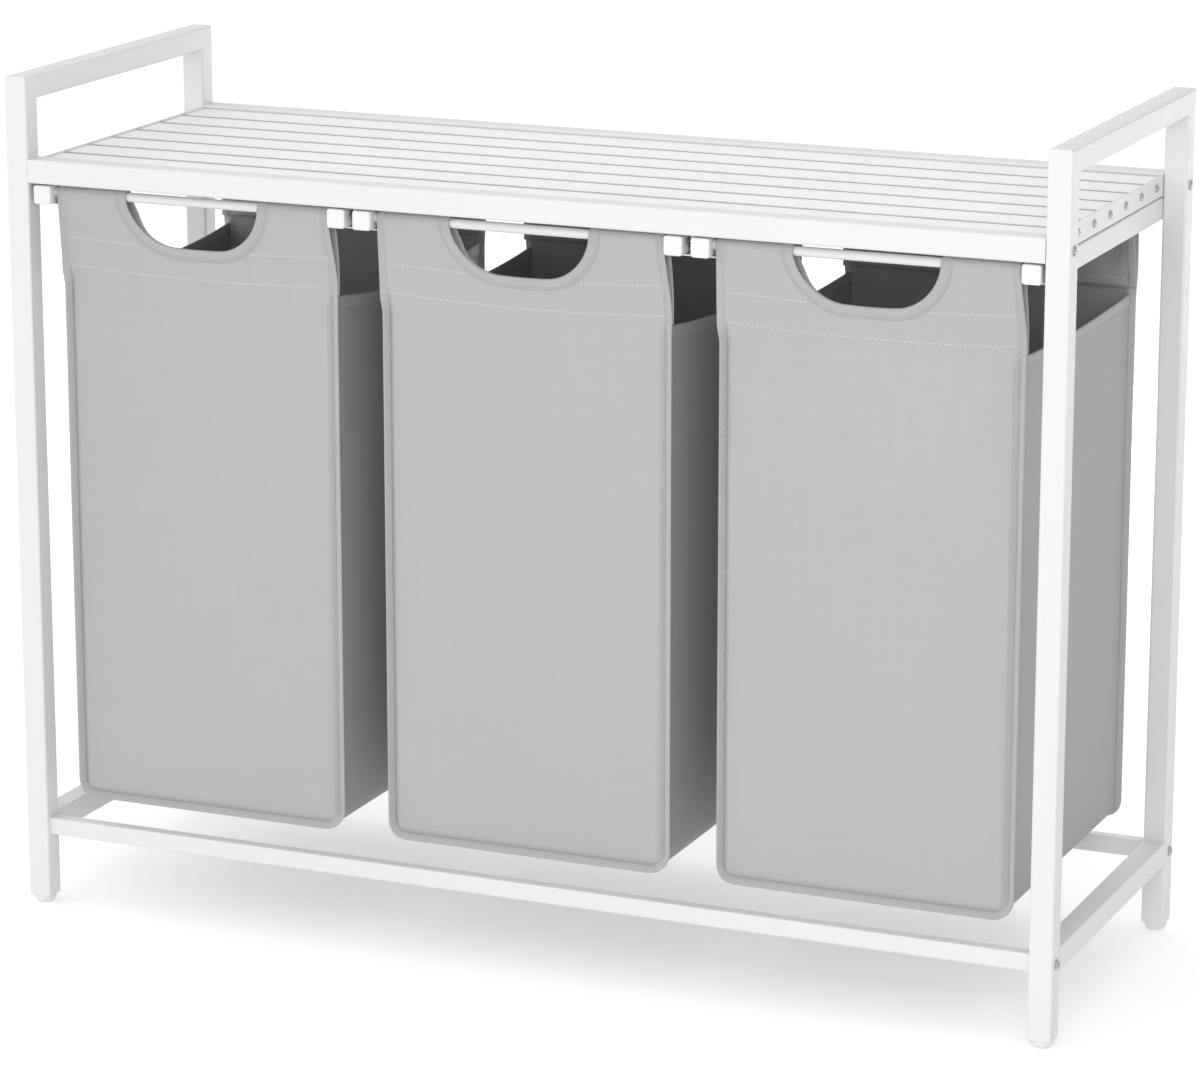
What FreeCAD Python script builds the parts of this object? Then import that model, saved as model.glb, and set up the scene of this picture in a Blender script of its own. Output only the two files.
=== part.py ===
import FreeCAD, Part
import math
import os

import Sketcher

# A three-bag laundry sorter: a white square-tube frame with a slatted shelf and two end handles,
# and under the shelf three fabric bags, each hung on its own frame that slides out to the front.
# Millimetres. X runs along the shelf, +Y to the back, +Z up. The origin is on the floor,
# below the middle of the frame.

Vector = FreeCAD.Vector
Placement = FreeCAD.Placement
Rotation = FreeCAD.Rotation

# Every driving dimension, in millimetres. Each one becomes a named cell of the spreadsheet.
SIZES = {
    # welded side frames
    "frame_width": 925,
    "frame_depth": 330,
    "frame_height": 720,
    "tube_size": 20,
    "tube_wall": 1,
    "tube_corner": 2,
    "rail_middle_low": 70,
    # feet pushed into the posts
    "foot_height": 7,
    "foot_top_radius": 9.5,
    "foot_floor_radius": 6.5,
    "foot_edge": 1.5,
    "foot_plug_length": 14,
    "plug_clearance": 0.1,
    # long rails between the side frames
    "low_rail_height": 15,
    "low_rail_depth": 12,
    "low_rail_corner": 1.5,
    "shelf_rail_bottom": 631.5,
    # slatted shelf
    "slat_pitch": 41.8,
    "slat_width": 35.8,
    "slat_thick": 13,
    "slat_top": 648.5,
    "slat_edge": 0.9,
    "end_plate_thick": 2,
    "end_plate_bottom": 633,
    "end_plate_top": 650,
    # folded runners under the shelf rails
    "bag_spacing": 295,
    "runner_sheet": 1.2,
    "runner_tall": 19,
    "runner_flange": 22,
    "runner_bend": 2,
    "runner_front": 150,
    "runner_back": 164.5,
    "stop_reach": 14,
    "stop_tall": 10,
    # sliding frame of a bag
    "slider_width": 287,
    "slider_middle": 622,
    "slider_reach": 163,
    "slider_tube": 15,
    "slider_wall": 1,
    "slider_corner": 1.5,
    "glide_size": 16,
    "glide_face": 5,
    "glide_corner": 2.5,
    "glide_edge": 1.5,
    "glide_plug": 5,
    "rod_radius": 4,
    "rod_reach": 150,
    "rod_middle": 623.5,
    "rod_tap_depth": 14,
    # fabric bag
    "cloth": 1.5,
    "bag_width": 256,
    "bag_depth": 288,
    "bag_bottom": 98,
    "bag_corner": 12,
    "side_top": 550,
    "sleeve_width": 248,
    "sleeve_neck": 590,
    "sleeve_slack": 0.4,
    "sleeve_seam": 562,
    "hand_hole_flat": 42,
    "hand_hole_radius": 40,
    "hand_hole_bottom": 587,
    "board_width": 228,
    "board_depth": 278,
    "board_thick": 3,
    "board_lift": 0.2,
    # screws and the nuts in the rail ends
    "frame_screw_radius": 3,
    "frame_screw_length": 30,
    "frame_head_radius": 4.2,
    "frame_head_tall": 2.2,
    "slat_screw_radius": 1.7,
    "slat_screw_length": 20,
    "slat_head_radius": 3.3,
    "slat_head_tall": 1.8,
    "rod_screw_radius": 2,
    "rod_screw_length": 26,
    "rod_head_radius": 3.5,
    "rod_head_tall": 1.6,
    "screw_play": 0.2,
    "thread_play": 0.05,
    "cross_width": 0.9,
    "cross_depth": 0.9,
    "nut_length": 8,
}

SLAT_COUNT = 7
BAG_NAMES = ("left", "middle", "right")

# A pan head's outline from its rim to its flat top, as shares of its radius and of its height.
HEAD_OUTLINE = ((1, 0.45), (0.85, 0.8), (0.55, 1))
CROSS_REACH = 0.5

# Points closer than this are one point.
TOUCHING = 1e-6

# How a piece drawn along its own Z lies in the frame.
UPRIGHT = Rotation()
TURNED = Rotation(Vector(0, 0, 1), 180)
ALONG_X = Rotation(Vector(0, 1, 0), 90)
ALONG_MINUS_X = Rotation(Vector(0, 1, 0), -90)
TO_FRONT = Rotation(Vector(1, 0, 0), 90)
TO_BACK = Rotation(Vector(1, 0, 0), -90)
TO_FRONT_FLIPPED = TO_FRONT.multiply(Rotation(Vector(0, 0, 1), 180))

doc = FreeCAD.newDocument("laundry_sorter")
sheet = doc.addObject("Spreadsheet::Sheet", "Sizes")
nodes = []


def fill_sheet():
    for row, (alias, value) in enumerate(SIZES.items(), start=1):
        sheet.set(f"A{row}", alias)
        sheet.set(f"B{row}", str(value))
        sheet.setAlias(f"B{row}", alias)
    doc.recompute()


def number(expression):
    """The value of an expression over the sheet's cells, for a sketch's first guess."""
    value = sheet.evalExpression(expression)
    return float(getattr(value, "Value", value))


# ---------------------------------------------------------------- sketches

def new_sketch(body, name, role="XY_Plane", lift=None):
    """A sketch on one of the body's own origin planes, lifted off it by an expression."""
    plane = next(item for item in body.Origin.OriginFeatures if item.Role == role)
    sketch = body.newObject("Sketcher::SketchObject", name)
    sketch.AttachmentSupport = (plane, "")
    sketch.MapMode = "FlatFace"
    if lift:
        sketch.setExpression("AttachmentOffset.Base.z", lift)
    return sketch


def bind(sketch, constraint, expression):
    index = sketch.addConstraint(constraint)
    label = f"size{index}"
    sketch.renameConstraint(index, label)
    sketch.setExpression("Constraints." + label, expression)


def pin_point(sketch, shape, point, x, y):
    """Hold one point of a shape at x, y, given as expressions; '0' means on the axis."""
    if x == "0":
        sketch.addConstraint(Sketcher.Constraint("PointOnObject", shape, point, -2))
    else:
        bind(sketch, Sketcher.Constraint("DistanceX", shape, point, number(x)), x)
    if y == "0":
        sketch.addConstraint(Sketcher.Constraint("PointOnObject", shape, point, -1))
    else:
        bind(sketch, Sketcher.Constraint("DistanceY", shape, point, number(y)), y)


def draw_polygon(sketch, corners):
    """A closed polygon through corners, each a pair of expressions."""
    points = [Vector(number(x), number(y), 0) for x, y in corners]
    first = sketch.GeometryCount
    count = len(points)
    for index in range(count):
        sketch.addGeometry(Part.LineSegment(points[index], points[(index + 1) % count]))
    for index in range(count):
        follower = first + (index + 1) % count
        sketch.addConstraint(Sketcher.Constraint("Coincident", first + index, 2, follower, 1))
    for index, (x, y) in enumerate(corners):
        pin_point(sketch, first + index, 1, x, y)


def draw_circle(sketch, x, y, radius):
    centre = Vector(number(x), number(y), 0)
    shape = sketch.addGeometry(Part.Circle(centre, Vector(0, 0, 1), number(radius)))
    bind(sketch, Sketcher.Constraint("Radius", shape, number(radius)), radius)
    pin_point(sketch, shape, 3, x, y)


def draw_rounded_rectangle(sketch, width, height, corner):
    """A rectangle with rounded corners, centred on the sketch's origin."""
    radius = number(corner)
    reach_x = number(width) / 2 - radius
    reach_y = number(height) / 2 - radius
    first = sketch.GeometryCount
    arcs = []
    for quarter, (side_x, side_y) in enumerate(((1, 1), (-1, 1), (-1, -1), (1, -1))):
        centre = Vector(side_x * reach_x, side_y * reach_y, 0)
        circle = Part.Circle(centre, Vector(0, 0, 1), radius)
        start = quarter * math.pi / 2
        arcs.append(Part.ArcOfCircle(circle, start, start + math.pi / 2))
        sketch.addGeometry(arcs[-1])
    for quarter in range(4):
        follower = arcs[(quarter + 1) % 4]
        sketch.addGeometry(Part.LineSegment(arcs[quarter].EndPoint, follower.StartPoint))
    top, left, bottom, right = range(first + 4, first + 8)
    for quarter in range(4):
        line = first + 4 + quarter
        follower = first + (quarter + 1) % 4
        sketch.addConstraint(Sketcher.Constraint("Tangent", first + quarter, 2, line, 1))
        sketch.addConstraint(Sketcher.Constraint("Tangent", line, 2, follower, 1))
        if quarter:
            sketch.addConstraint(Sketcher.Constraint("Equal", first, first + quarter))
    for line in (top, bottom):
        sketch.addConstraint(Sketcher.Constraint("Horizontal", line))
    for line in (left, right):
        sketch.addConstraint(Sketcher.Constraint("Vertical", line))
    sketch.addConstraint(Sketcher.Constraint("Symmetric", first, 3, first + 2, 3, -1, 1))
    bind(sketch, Sketcher.Constraint("Radius", first, radius), corner)
    bind(sketch, Sketcher.Constraint("DistanceX", left, 1, right, 1, number(width)), width)
    bind(sketch, Sketcher.Constraint("DistanceY", bottom, 1, top, 1, number(height)), height)


# ---------------------------------------------------------------- features

def new_body(label, is_node=True):
    body = doc.addObject("PartDesign::Body", label)
    body.Label = label
    if is_node:
        nodes.append(body)
    return body


def pad(body, sketch, length, both_ways=False):
    feature = body.newObject("PartDesign::Pad", sketch.Name + "_pad")
    feature.Profile = sketch
    feature.SideType = "Symmetric" if both_ways else "One side"
    feature.setExpression("Length", length)
    sketch.Visibility = False
    return feature


def pocket(body, sketch, length=None, upwards=False):
    """Cut a sketch out: right through both ways, or to a length below the sketch or above it."""
    doc.recompute()
    before = body.Shape.Volume
    feature = body.newObject("PartDesign::Pocket", sketch.Name + "_pocket")
    feature.Profile = sketch
    if length:
        feature.Reversed = upwards
        feature.setExpression("Length", length)
    else:
        feature.SideType = "Symmetric"
        feature.setExpression("Length", "2 * Sizes.frame_width")
    sketch.Visibility = False
    doc.recompute()
    if body.Shape.Volume >= before:
        raise RuntimeError(f"{sketch.Name} in {body.Label} cuts nothing")


def revolve(body, sketch):
    feature = body.newObject("PartDesign::Revolution", sketch.Name + "_turned")
    feature.Profile = sketch
    feature.ReferenceAxis = (sketch, ["V_Axis"])
    feature.Angle = 360
    sketch.Visibility = False


def place(piece, x, y, z, rotation=UPRIGHT):
    piece.Placement = Placement(Vector(), rotation)
    for axis, expression in (("x", x), ("y", y), ("z", z)):
        piece.setExpression("Placement.Base." + axis, expression)
    return piece


def bar_body(label, width, height, corner, length, is_node=True):
    """A solid bar with rounded long edges, drawn along its own Z."""
    body = new_body(label, is_node)
    sketch = new_sketch(body, "section")
    draw_rounded_rectangle(sketch, width, height, corner)
    pad(body, sketch, length)
    return body


def tube_body(label, width, height, corner, wall, length):
    """A rectangular tube with rounded long edges, drawn along its own Z."""
    body = new_body(label)
    sketch = new_sketch(body, "section")
    draw_rounded_rectangle(sketch, width, height, corner)
    draw_rounded_rectangle(sketch, f"{width} - 2 * {wall}", f"{height} - 2 * {wall}",
                           f"{corner} - {wall} / 2")
    pad(body, sketch, length)
    return body


def group(label, master, placements):
    """One node made of the same piece in several places: x, y, z expressions and a rotation."""
    links = []
    for index, (x, y, z, rotation) in enumerate(placements, start=1):
        link = doc.addObject("App::Link", f"{label}_{index}")
        link.LinkedObject = master
        links.append(place(link, x, y, z, rotation))
    compound = doc.addObject("Part::Compound", label)
    compound.Label = label
    compound.Links = links
    nodes.append(compound)


# ---------------------------------------------------------------- where things are

POST_X = "(Sizes.frame_width - Sizes.tube_size) / 2"
POST_Y = "(Sizes.frame_depth - Sizes.tube_size) / 2"
POST_INNER_X = "(Sizes.frame_width / 2 - Sizes.tube_size)"
POST_INNER_Y = "(Sizes.frame_depth / 2 - Sizes.tube_size)"
HIGH_SCREW_Z = "(Sizes.shelf_rail_bottom + Sizes.tube_size / 2)"
SLAT_MIDDLE_Z = "(Sizes.slat_top - Sizes.slat_thick / 2)"
SLIDER_X = "(Sizes.slider_width - Sizes.slider_tube) / 2"
TUBE_BORE = "Sizes.tube_size - 2 * Sizes.tube_wall - 2 * Sizes.plug_clearance"
SIDES = (("left", "-"), ("right", ""))
ENDS = (("front", "-"), ("rear", ""))


def slat_y(index):
    """The middle of a slat, counted from the front, as an expression."""
    return f"{index - (SLAT_COUNT - 1) // 2} * Sizes.slat_pitch"


# ---------------------------------------------------------------- welded side frames

def make_post(label, sign_x, sign_y):
    """A corner post: mitred at the top for the handle bar, cross-drilled for two rail screws."""
    length = "Sizes.frame_height - Sizes.foot_height"
    body = tube_body(label, "Sizes.tube_size", "Sizes.tube_size", "Sizes.tube_corner",
                     "Sizes.tube_wall", length)
    mitre = new_sketch(body, "mitre", "YZ_Plane")
    draw_polygon(mitre, [
        ("-Sizes.tube_size / 2", length),
        ("Sizes.tube_size / 2", f"{length} - Sizes.tube_size"),
        ("Sizes.tube_size / 2", length),
    ])
    pocket(body, mitre)
    holes = new_sketch(body, "screw_holes", "YZ_Plane")
    for height in ("Sizes.rail_middle_low", HIGH_SCREW_Z):
        draw_circle(holes, "0", f"{height} - Sizes.foot_height",
                    "Sizes.frame_screw_radius + Sizes.screw_play")
    pocket(body, holes)
    turn = UPRIGHT if sign_y else TURNED
    return place(body, f"{sign_x}{POST_X}", f"{sign_y}{POST_Y}", "Sizes.foot_height", turn)


def make_handle_bar(label, sign_x):
    """The bar across the top of a side frame, mitred at both ends."""
    length = "Sizes.frame_depth"
    body = tube_body(label, "Sizes.tube_size", "Sizes.tube_size", "Sizes.tube_corner",
                     "Sizes.tube_wall", length)
    mitres = new_sketch(body, "mitres", "YZ_Plane")
    draw_polygon(mitres, [
        ("-Sizes.tube_size / 2", "0"),
        ("Sizes.tube_size / 2", "0"),
        ("-Sizes.tube_size / 2", "Sizes.tube_size"),
    ])
    draw_polygon(mitres, [
        ("Sizes.tube_size / 2", length),
        ("-Sizes.tube_size / 2", length),
        ("-Sizes.tube_size / 2", f"{length} - Sizes.tube_size"),
    ])
    pocket(body, mitres)
    return place(body, f"{sign_x}{POST_X}", "Sizes.frame_depth / 2",
                 "Sizes.frame_height - Sizes.tube_size / 2", TO_FRONT)


def make_side_rail(label, sign_x):
    """The rail low down between the two posts of a side frame."""
    body = tube_body(label, "Sizes.tube_size", "Sizes.tube_size", "Sizes.tube_corner",
                     "Sizes.tube_wall", f"2 * {POST_INNER_Y}")
    return place(body, f"{sign_x}{POST_X}", POST_INNER_Y, "Sizes.rail_middle_low", TO_FRONT)


def make_foot(label, sign_x, sign_y):
    """A turned plastic foot with a square plug that presses into the post."""
    body = new_body(label)
    profile = new_sketch(body, "profile", "XZ_Plane")
    draw_polygon(profile, [
        ("0", "0"),
        ("Sizes.foot_floor_radius", "0"),
        ("Sizes.foot_floor_radius + Sizes.foot_edge", "Sizes.foot_edge"),
        ("Sizes.foot_top_radius", "Sizes.foot_height - 2 * Sizes.foot_edge"),
        ("Sizes.foot_top_radius", "Sizes.foot_height"),
        ("0", "Sizes.foot_height"),
    ])
    revolve(body, profile)
    plug = new_sketch(body, "plug", "XY_Plane", "Sizes.foot_height")
    draw_rounded_rectangle(plug, TUBE_BORE, TUBE_BORE, "Sizes.tube_corner")
    pad(body, plug, "Sizes.foot_plug_length")
    return place(body, f"{sign_x}{POST_X}", f"{sign_y}{POST_Y}", "0")


def make_side_frames():
    for side, sign_x in SIDES:
        for end, sign_y in ENDS:
            make_post(f"post_{end}_{side}", sign_x, sign_y)
            make_foot(f"foot_{end}_{side}", sign_x, sign_y)
        make_handle_bar(f"handle_bar_{side}", sign_x)
        make_side_rail(f"low_side_rail_{side}", sign_x)


# ---------------------------------------------------------------- long rails and shelf

def make_long_rails():
    for end, sign_y in ENDS:
        low = tube_body(f"low_rail_{end}", "Sizes.low_rail_height", "Sizes.low_rail_depth",
                        "Sizes.low_rail_corner", "Sizes.tube_wall", f"2 * {POST_INNER_X}")
        place(low, f"-{POST_INNER_X}", f"{sign_y}{POST_Y}", "Sizes.rail_middle_low", ALONG_X)
        high = tube_body(f"shelf_rail_{end}", "Sizes.tube_size", "Sizes.tube_size",
                         "Sizes.tube_corner", "Sizes.tube_wall", f"2 * {POST_INNER_X}")
        place(high, f"-{POST_INNER_X}", f"{sign_y}{POST_Y}", HIGH_SCREW_Z, ALONG_X)


def make_slat(index):
    """A painted slat with a pilot hole in each end."""
    length = f"2 * ({POST_INNER_X} - Sizes.end_plate_thick)"
    body = bar_body(f"slat_{index + 1}", "Sizes.slat_thick", "Sizes.slat_width",
                    "Sizes.slat_edge", length)
    for name, lift in (("pilot_far", length), ("pilot_near", "Sizes.slat_screw_length")):
        pilot = new_sketch(body, name, "XY_Plane", lift)
        draw_circle(pilot, "0", "0", "Sizes.slat_screw_radius + Sizes.thread_play")
        pocket(body, pilot, "Sizes.slat_screw_length")
    return place(body, f"Sizes.end_plate_thick - {POST_INNER_X}", slat_y(index),
                 SLAT_MIDDLE_Z, ALONG_X)


def make_end_plate(label, x):
    """The strip that the slats are screwed to, between the two shelf rails."""
    body = new_body(label)
    outline = new_sketch(body, "outline", "YZ_Plane")
    low = "Sizes.end_plate_bottom"
    high = "Sizes.end_plate_top"
    draw_polygon(outline, [
        (f"-{POST_INNER_Y}", low),
        (POST_INNER_Y, low),
        (POST_INNER_Y, high),
        (f"-{POST_INNER_Y}", high),
    ])
    for index in range(SLAT_COUNT):
        along = slat_y(index)
        draw_circle(outline, "0" if along.startswith("0 ") else along, SLAT_MIDDLE_Z,
                    "Sizes.slat_screw_radius + Sizes.screw_play")
    pad(body, outline, "Sizes.end_plate_thick")
    return place(body, x, "0", "0")


def make_shelf():
    for index in range(SLAT_COUNT):
        make_slat(index)
    make_end_plate("shelf_end_plate_left", f"-{POST_INNER_X}")
    make_end_plate("shelf_end_plate_right", f"{POST_INNER_X} - Sizes.end_plate_thick")


# ---------------------------------------------------------------- runners

def make_runner(label, x, rotation):
    """A folded channel for a slide tube, with a stop tab turned in at its back end."""
    box_width = "(Sizes.runner_flange + 2 * Sizes.runner_bend)"
    length = "Sizes.runner_front + Sizes.runner_back"
    body = new_body(label)
    section = new_sketch(body, "section")
    draw_rounded_rectangle(section, box_width, "Sizes.runner_tall", "Sizes.runner_bend")
    draw_rounded_rectangle(section, f"{box_width} - 2 * Sizes.runner_sheet",
                           "Sizes.runner_tall - 2 * Sizes.runner_sheet",
                           "Sizes.runner_bend - Sizes.runner_sheet")
    pad(body, section, length)
    mouth = new_sketch(body, "mouth", "YZ_Plane", f"{box_width} / 2 - 2 * Sizes.runner_bend")
    draw_polygon(mouth, [
        ("-Sizes.runner_tall", "-Sizes.runner_bend"),
        ("Sizes.runner_tall", "-Sizes.runner_bend"),
        ("Sizes.runner_tall", f"{length} + Sizes.runner_bend"),
        ("-Sizes.runner_tall", f"{length} + Sizes.runner_bend"),
    ])
    pocket(body, mouth, "4 * Sizes.runner_bend", upwards=True)
    tab = new_sketch(body, "stop_tab")
    web = f"-{box_width} / 2"
    draw_polygon(tab, [
        (f"{web} + Sizes.runner_sheet / 2", "-Sizes.stop_tall / 2"),
        (f"{web} + Sizes.stop_reach", "-Sizes.stop_tall / 2"),
        (f"{web} + Sizes.stop_reach", "Sizes.stop_tall / 2"),
        (f"{web} + Sizes.runner_sheet / 2", "Sizes.stop_tall / 2"),
    ])
    pad(body, tab, "Sizes.runner_sheet")
    return place(body, x, "Sizes.runner_back",
                 "Sizes.shelf_rail_bottom - Sizes.runner_tall / 2", rotation)


def make_runners():
    """Two runners to a bag, their webs outside and their mouths facing each other."""
    inset = "(Sizes.bag_spacing / 2 - Sizes.runner_flange / 2 - Sizes.runner_bend)"
    for index, name in enumerate(BAG_NAMES):
        middle = f"{index - 1} * Sizes.bag_spacing"
        make_runner(f"runner_{name}_bag_left", f"{middle} - {inset}", TO_FRONT)
        make_runner(f"runner_{name}_bag_right", f"{middle} + {inset}", TO_FRONT_FLIPPED)


# ---------------------------------------------------------------- sliding frame of a bag

def make_slide_tube(label, x):
    """A side tube of the sliding frame, cross-drilled for the rod screws."""
    length = "2 * (Sizes.slider_reach - Sizes.glide_face)"
    body = tube_body(label, "Sizes.slider_tube", "Sizes.slider_tube", "Sizes.slider_corner",
                     "Sizes.slider_wall", length)
    holes = new_sketch(body, "rod_holes", "YZ_Plane")
    for side in ("-", ""):
        draw_circle(holes, "Sizes.rod_middle - Sizes.slider_middle",
                    f"Sizes.slider_reach - Sizes.glide_face {side or '+'} Sizes.rod_reach",
                    "Sizes.rod_screw_radius + Sizes.screw_play")
    pocket(body, holes)
    return place(body, x, "Sizes.slider_reach - Sizes.glide_face", "Sizes.slider_middle",
                 TO_FRONT)


def make_rod(label, middle, sign_y):
    """A round steel rod between the slide tubes, tapped at both ends."""
    length = "Sizes.slider_width - 2 * Sizes.slider_tube"
    body = new_body(label)
    section = new_sketch(body, "section")
    draw_circle(section, "0", "0", "Sizes.rod_radius")
    pad(body, section, length)
    for name, lift in (("tap_far", length), ("tap_near", "Sizes.rod_tap_depth")):
        tap = new_sketch(body, name, "XY_Plane", lift)
        draw_circle(tap, "0", "0", "Sizes.rod_screw_radius + Sizes.thread_play")
        pocket(body, tap, "Sizes.rod_tap_depth")
    return place(body, f"{middle} - ({length}) / 2", f"{sign_y}Sizes.rod_reach",
                 "Sizes.rod_middle", ALONG_X)


def make_glide_master():
    """A plastic end cap: a rounded face block, and a plug in the tube. Its face is at Z = 0."""
    body = new_body("glide_master", is_node=False)
    face = new_sketch(body, "face")
    draw_rounded_rectangle(face, "Sizes.glide_size", "Sizes.glide_size", "Sizes.glide_corner")
    block = pad(body, face, "Sizes.glide_face")
    doc.recompute()
    rim = [f"Edge{index}" for index, edge in enumerate(block.Shape.Edges, start=1)
           if max(vertex.Z for vertex in edge.Vertexes) < number("Sizes.glide_edge")]
    soft_rim = body.newObject("PartDesign::Fillet", "soft_rim")
    soft_rim.Base = (block, rim)
    soft_rim.setExpression("Radius", "Sizes.glide_edge")
    doc.recompute()
    plug = new_sketch(body, "plug", "XY_Plane", "Sizes.glide_face")
    plug_size = "Sizes.slider_tube - 2 * Sizes.slider_wall - 2 * Sizes.plug_clearance"
    draw_rounded_rectangle(plug, plug_size, plug_size, "Sizes.slider_corner")
    pad(body, plug, "Sizes.glide_plug")
    return body


def make_base_board(label, middle):
    """The stiff board that lies in the bottom of a bag."""
    board = doc.addObject("Part::Box", label)
    board.Label = label
    board.setExpression("Length", "Sizes.board_width")
    board.setExpression("Width", "Sizes.board_depth")
    board.setExpression("Height", "Sizes.board_thick")
    nodes.append(board)
    return place(board, f"{middle} - Sizes.board_width / 2", "-Sizes.board_depth / 2",
                 "Sizes.bag_bottom + Sizes.cloth + Sizes.board_lift")


# ---------------------------------------------------------------- fabric bag

def wire_of(points):
    return Part.makePolygon(points + points[:1])


def tangent_point(centre, radius, point, side):
    """Where the line from a point touches a circle in the YZ plane, on the side given."""
    to_point = point - centre
    distance = to_point.Length
    angle = math.atan2(to_point.z, to_point.y) + side * math.acos(radius / distance)
    return centre + Vector(0, radius * math.cos(angle), radius * math.sin(angle))


def sleeve_loop(centre, radius, front_foot, back_foot, x):
    """A closed loop over a rod: round its top, and tangent down to the two feet."""
    front = tangent_point(centre, radius, front_foot, -1)
    back = tangent_point(centre, radius, back_foot, 1)
    top = centre + Vector(0, 0, radius)
    shift = Vector(x, 0, 0)
    over = Part.Arc(front + shift, top + shift, back + shift).toShape()
    edges = [over, Part.makeLine(back + shift, back_foot + shift)]
    if (back_foot - front_foot).Length > TOUCHING:
        edges.append(Part.makeLine(back_foot + shift, front_foot + shift))
    edges.append(Part.makeLine(front_foot + shift, front + shift))
    return Part.Face(Part.Wire(edges))


def front_panel():
    """The front panel of a bag and the sleeve that its top makes over the rod."""
    cloth = number("Sizes.cloth")
    width = number("Sizes.bag_width")
    face_y = -number("Sizes.bag_depth") / 2
    seam = number("Sizes.sleeve_seam")
    low = number("Sizes.bag_bottom")
    side_top = number("Sizes.side_top")
    centre = Vector(0, -number("Sizes.rod_reach"), number("Sizes.rod_middle"))
    inner = number("Sizes.rod_radius + Sizes.sleeve_slack")
    start = -width / 2
    lean = face_y - cloth
    outer_loop = sleeve_loop(centre, inner + cloth, Vector(0, lean, seam),
                             Vector(0, lean + 2 * cloth, seam), start)
    inner_loop = sleeve_loop(centre, inner, Vector(0, lean + cloth, seam + cloth),
                             Vector(0, lean + cloth, seam + cloth), start)
    sleeve = outer_loop.cut(inner_loop).extrude(Vector(width, 0, 0))
    neck = Part.Face(wire_of([
        Vector(start, lean, seam),
        Vector(start, face_y, side_top),
        Vector(start, face_y + cloth, side_top),
        Vector(start, lean + 2 * cloth, seam),
    ])).extrude(Vector(width, 0, 0))
    sheet_below = Part.makeBox(width, cloth, side_top - low, Vector(start, face_y, low))
    return sleeve.fuse([neck, sheet_below])


def panel_trim():
    """What is cut off a panel's corners: rounded at the bottom, drawn in to the sleeve above."""
    half = number("Sizes.bag_width") / 2
    low = number("Sizes.bag_bottom")
    corner = number("Sizes.bag_corner")
    sleeve_half = number("Sizes.sleeve_width") / 2
    neck = number("Sizes.sleeve_neck")
    high = number("Sizes.frame_height")
    depth = number("Sizes.frame_depth")
    trims = []
    for side in (-1, 1):
        upper = wire_of([
            Vector(side * half, -depth, number("Sizes.side_top")),
            Vector(side * sleeve_half, -depth, neck),
            Vector(side * sleeve_half, -depth, high),
            Vector(side * 2 * half, -depth, high),
            Vector(side * 2 * half, -depth, number("Sizes.side_top")),
        ])
        trims.append(Part.Face(upper).extrude(Vector(0, 2 * depth, 0)))
        block = Part.makeBox(corner, 2 * depth, corner,
                             Vector(min(side * half, side * (half - corner)), -depth, low))
        round_off = Part.makeCylinder(corner, 2 * depth,
                                      Vector(side * (half - corner), -depth, low + corner),
                                      Vector(0, 1, 0))
        trims.append(block.cut(round_off))
    return trims


def gusset():
    """The strip that makes both sides and the bottom of a bag."""
    half = number("Sizes.bag_width") / 2
    depth = number("Sizes.bag_depth")
    low = number("Sizes.bag_bottom")
    cloth = number("Sizes.cloth")
    corner = number("Sizes.bag_corner")
    high = number("Sizes.side_top")
    start = Vector(-half, -depth / 2, low)
    outer = Part.makeBox(2 * half, depth, high - low, start)
    inner = Part.makeBox(2 * (half - cloth), depth, high - low, start + Vector(cloth, 0, cloth))

    def low_long_edges(box):
        return [edge for edge in box.Edges
                if edge.BoundBox.ZMax < box.BoundBox.ZMin + TOUCHING
                and edge.BoundBox.YLength > TOUCHING
                and abs(edge.Vertexes[0].X - edge.Vertexes[1].X) < TOUCHING]

    outer = outer.makeFillet(corner, low_long_edges(outer))
    inner = inner.makeFillet(corner - cloth, low_long_edges(inner))
    return outer.cut(inner)


def hand_hole():
    """The D-shaped hole through the front sleeve, under the rod."""
    half_flat = number("Sizes.hand_hole_flat") / 2
    radius = number("Sizes.hand_hole_radius")
    low = number("Sizes.hand_hole_bottom")
    front = -number("Sizes.rod_reach") - 4 * number("Sizes.rod_radius")
    depth = 8 * number("Sizes.rod_radius")
    blocks = [Part.makeBox(2 * half_flat, depth, 2 * radius, Vector(-half_flat, front, low))]
    for side in (-1, 1):
        blocks.append(Part.makeCylinder(radius, depth, Vector(side * half_flat, front,
                                                              low + radius), Vector(0, 1, 0)))
    return blocks[0].fuse(blocks[1:])


def bag_shape():
    front = front_panel()
    rear = front.mirror(Vector(), Vector(0, 1, 0))
    panels = front.cut([hand_hole()] + panel_trim()).fuse(rear.cut(panel_trim()))
    return panels.fuse(gusset()).removeSplitter()


def make_bag(label, middle, shape):
    bag = doc.addObject("Part::Feature", label)
    bag.Label = label
    bag.Shape = shape
    nodes.append(bag)
    return place(bag, middle, "0", "0")


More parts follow.
